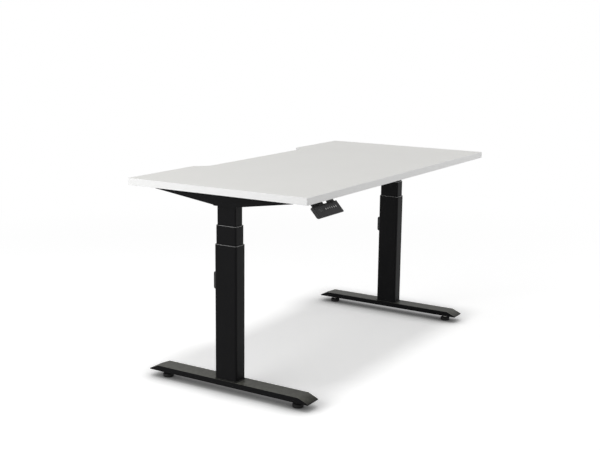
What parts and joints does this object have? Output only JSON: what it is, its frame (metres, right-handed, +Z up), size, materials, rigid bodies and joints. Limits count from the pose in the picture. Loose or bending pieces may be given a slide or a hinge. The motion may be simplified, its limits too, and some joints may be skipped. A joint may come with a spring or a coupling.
{
  "type": "height adjustable standing desk",
  "caption": "Standing desk with a rectangular laminate top, rear cable cut-out, two three-stage electric columns, bar feet and a push-button handset.",
  "frame": {"origin": "on the floor, at the centre of the whole desk's bounding box", "axes": "+X to the user's right along the desktop, +Y from the user's side to the rear, +Z up"},
  "size_m": [1.5, 0.77, 0.76],
  "materials": {
    "laminate": "fine matt melamine face",
    "edge_band": "satin plastic edge band",
    "powder_coat": "fine textured matt black powder coat",
    "black_plastic": "moulded, lightly textured",
    "panel_plastic": "smooth satin panel",
    "window": "smoked display window",
    "button_plastic": "moulded keys with printed signs",
    "black_rubber": "moulded rubber",
    "bright_steel": "turned steel",
    "zinc_steel": "zinc plated",
    "motor_steel": "zinc grey motor can",
    "gear_case": "die cast",
    "nut_plastic": "acetal",
    "circuit_board": "green board with parts",
    "cable_black": "smooth cable jacket",
    "clip_white": "clear-white nylon"
  },
  "bodies": {
    "left_base": {"left_foot": "powder_coat", "left_outer_tube": "powder_coat", "left_outer_bush": "black_plastic", "left_fixed_screw": "bright_steel", "left_foot_bolts": "zinc_steel", "left_column_cap": "black_plastic"},
    "left_middle": {"left_middle_tube": "powder_coat", "left_middle_bush": "black_plastic", "left_middle_shoe": "black_plastic"},
    "top": {"desktop_board": "laminate", "edge_band": "edge_band", "left_side_arm": "powder_coat", "right_side_arm": "powder_coat", "end_rails": "powder_coat", "middle_rails": "powder_coat", "rail_screws": "zinc_steel", "desktop_screws": "zinc_steel", "left_inner_tube": "powder_coat", "right_inner_tube": "powder_coat", "left_motor": "motor_steel", "right_motor": "motor_steel", "left_gearbox": "gear_case", "right_gearbox": "gear_case", "left_inner_nut": "nut_plastic", "right_inner_nut": "nut_plastic", "control_box": "black_plastic", "control_box_lid": "black_plastic", "control_board": "circuit_board", "power_inlet": "black_plastic", "motor_cables": "cable_black", "handset_cable": "cable_black", "cable_clips": "clip_white", "handset_shell": "black_plastic", "handset_fascia": "panel_plastic", "handset_bracket": "black_plastic", "handset_board": "circuit_board", "display_window": "window"},
    "right_middle": {"right_middle_tube": "powder_coat", "right_middle_bush": "black_plastic", "right_middle_shoe": "black_plastic"},
    "right_base": {"right_foot": "powder_coat", "right_outer_tube": "powder_coat", "right_outer_bush": "black_plastic", "right_fixed_screw": "bright_steel", "right_foot_bolts": "zinc_steel", "right_column_cap": "black_plastic"},
    "left_screw_sleeve": {"left_screw_sleeve": "bright_steel"},
    "right_screw_sleeve": {"right_screw_sleeve": "bright_steel"},
    "left_drive_shaft": {"left_drive_shaft": "bright_steel"},
    "right_drive_shaft": {"right_drive_shaft": "bright_steel"},
    "left_front_glide": {"left_front_glide": "black_rubber"},
    "left_rear_glide": {"left_rear_glide": "black_rubber"},
    "right_front_glide": {"right_front_glide": "black_rubber"},
    "right_rear_glide": {"right_rear_glide": "black_rubber"},
    "button_up": {"button_up": "button_plastic"},
    "button_down": {"button_down": "button_plastic"},
    "button_one": {"button_one": "button_plastic"},
    "button_two": {"button_two": "button_plastic"},
    "button_three": {"button_three": "button_plastic"},
    "button_memory": {"button_memory": "button_plastic"}
  },
  "joints": [
    {"name": "left_lower_stage", "type": "slide", "parent": "left_base", "child": "left_middle", "axis": [0, 0, 1], "range_m": [-0.063, 0.262]},
    {"name": "left_upper_stage", "type": "slide", "parent": "left_middle", "child": "top", "axis": [0, 0, 1], "range_m": [-0.063, 0.262]},
    {"name": "right_upper_stage", "type": "slide", "parent": "top", "child": "right_middle", "axis": [0, 0, -1], "range_m": [-0.063, 0.262]},
    {"name": "right_lower_stage", "type": "slide", "parent": "right_middle", "child": "right_base", "axis": [0, 0, -1], "range_m": [-0.063, 0.262]},
    {"name": "left_sleeve_spin", "type": "hinge", "parent": "left_middle", "child": "left_screw_sleeve", "pos_m": [-0.636, 0.02, 0.12], "axis": [0, 0, 1], "range_deg": [-2846, 11801]},
    {"name": "left_shaft_spin", "type": "hinge", "parent": "top", "child": "left_drive_shaft", "pos_m": [-0.636, 0.02, 0.565], "axis": [0, 0, 1], "range_deg": [-2846, 11801]},
    {"name": "right_sleeve_spin", "type": "hinge", "parent": "right_middle", "child": "right_screw_sleeve", "pos_m": [0.636, 0.02, 0.12], "axis": [0, 0, 1], "range_deg": [-2846, 11801]},
    {"name": "right_shaft_spin", "type": "hinge", "parent": "top", "child": "right_drive_shaft", "pos_m": [0.636, 0.02, 0.565], "axis": [0, 0, 1], "range_deg": [-2846, 11801]},
    {"name": "left_front_levelling", "type": "slide", "parent": "left_base", "child": "left_front_glide", "axis": [0, 0, -1], "range_m": [0, 0.012]},
    {"name": "left_rear_levelling", "type": "slide", "parent": "left_base", "child": "left_rear_glide", "axis": [0, 0, -1], "range_m": [0, 0.012]},
    {"name": "right_front_levelling", "type": "slide", "parent": "right_base", "child": "right_front_glide", "axis": [0, 0, -1], "range_m": [0, 0.012]},
    {"name": "right_rear_levelling", "type": "slide", "parent": "right_base", "child": "right_rear_glide", "axis": [0, 0, -1], "range_m": [0, 0.012]},
    {"name": "button_up_press", "type": "slide", "parent": "top", "child": "button_up", "axis": [0, 0.7431, -0.6691], "range_m": [0, 0.0006], "stiffness_N_per_m": 1500, "springref_m": -0.0007},
    {"name": "button_down_press", "type": "slide", "parent": "top", "child": "button_down", "axis": [0, 0.7431, -0.6691], "range_m": [0, 0.0006], "stiffness_N_per_m": 1500, "springref_m": -0.0007},
    {"name": "button_one_press", "type": "slide", "parent": "top", "child": "button_one", "axis": [0, 0.7431, -0.6691], "range_m": [0, 0.0006], "stiffness_N_per_m": 1500, "springref_m": -0.0007},
    {"name": "button_two_press", "type": "slide", "parent": "top", "child": "button_two", "axis": [0, 0.7431, -0.6691], "range_m": [0, 0.0006], "stiffness_N_per_m": 1500, "springref_m": -0.0007},
    {"name": "button_three_press", "type": "slide", "parent": "top", "child": "button_three", "axis": [0, 0.7431, -0.6691], "range_m": [0, 0.0006], "stiffness_N_per_m": 1500, "springref_m": -0.0007},
    {"name": "button_memory_press", "type": "slide", "parent": "top", "child": "button_memory", "axis": [0, 0.7431, -0.6691], "range_m": [0, 0.0006], "stiffness_N_per_m": 1500, "springref_m": -0.0007}
  ],
  "couplings": [
    {"joint": "left_upper_stage", "follows": "left_lower_stage", "ratio": 1},
    {"joint": "right_upper_stage", "follows": "left_lower_stage", "ratio": 1},
    {"joint": "right_lower_stage", "follows": "left_lower_stage", "ratio": 1},
    {"joint": "left_sleeve_spin", "follows": "left_lower_stage", "rad_per_m": 785.4},
    {"joint": "left_shaft_spin", "follows": "left_lower_stage", "rad_per_m": 785.4},
    {"joint": "right_sleeve_spin", "follows": "left_lower_stage", "rad_per_m": 785.4},
    {"joint": "right_shaft_spin", "follows": "left_lower_stage", "rad_per_m": 785.4}
  ]
}
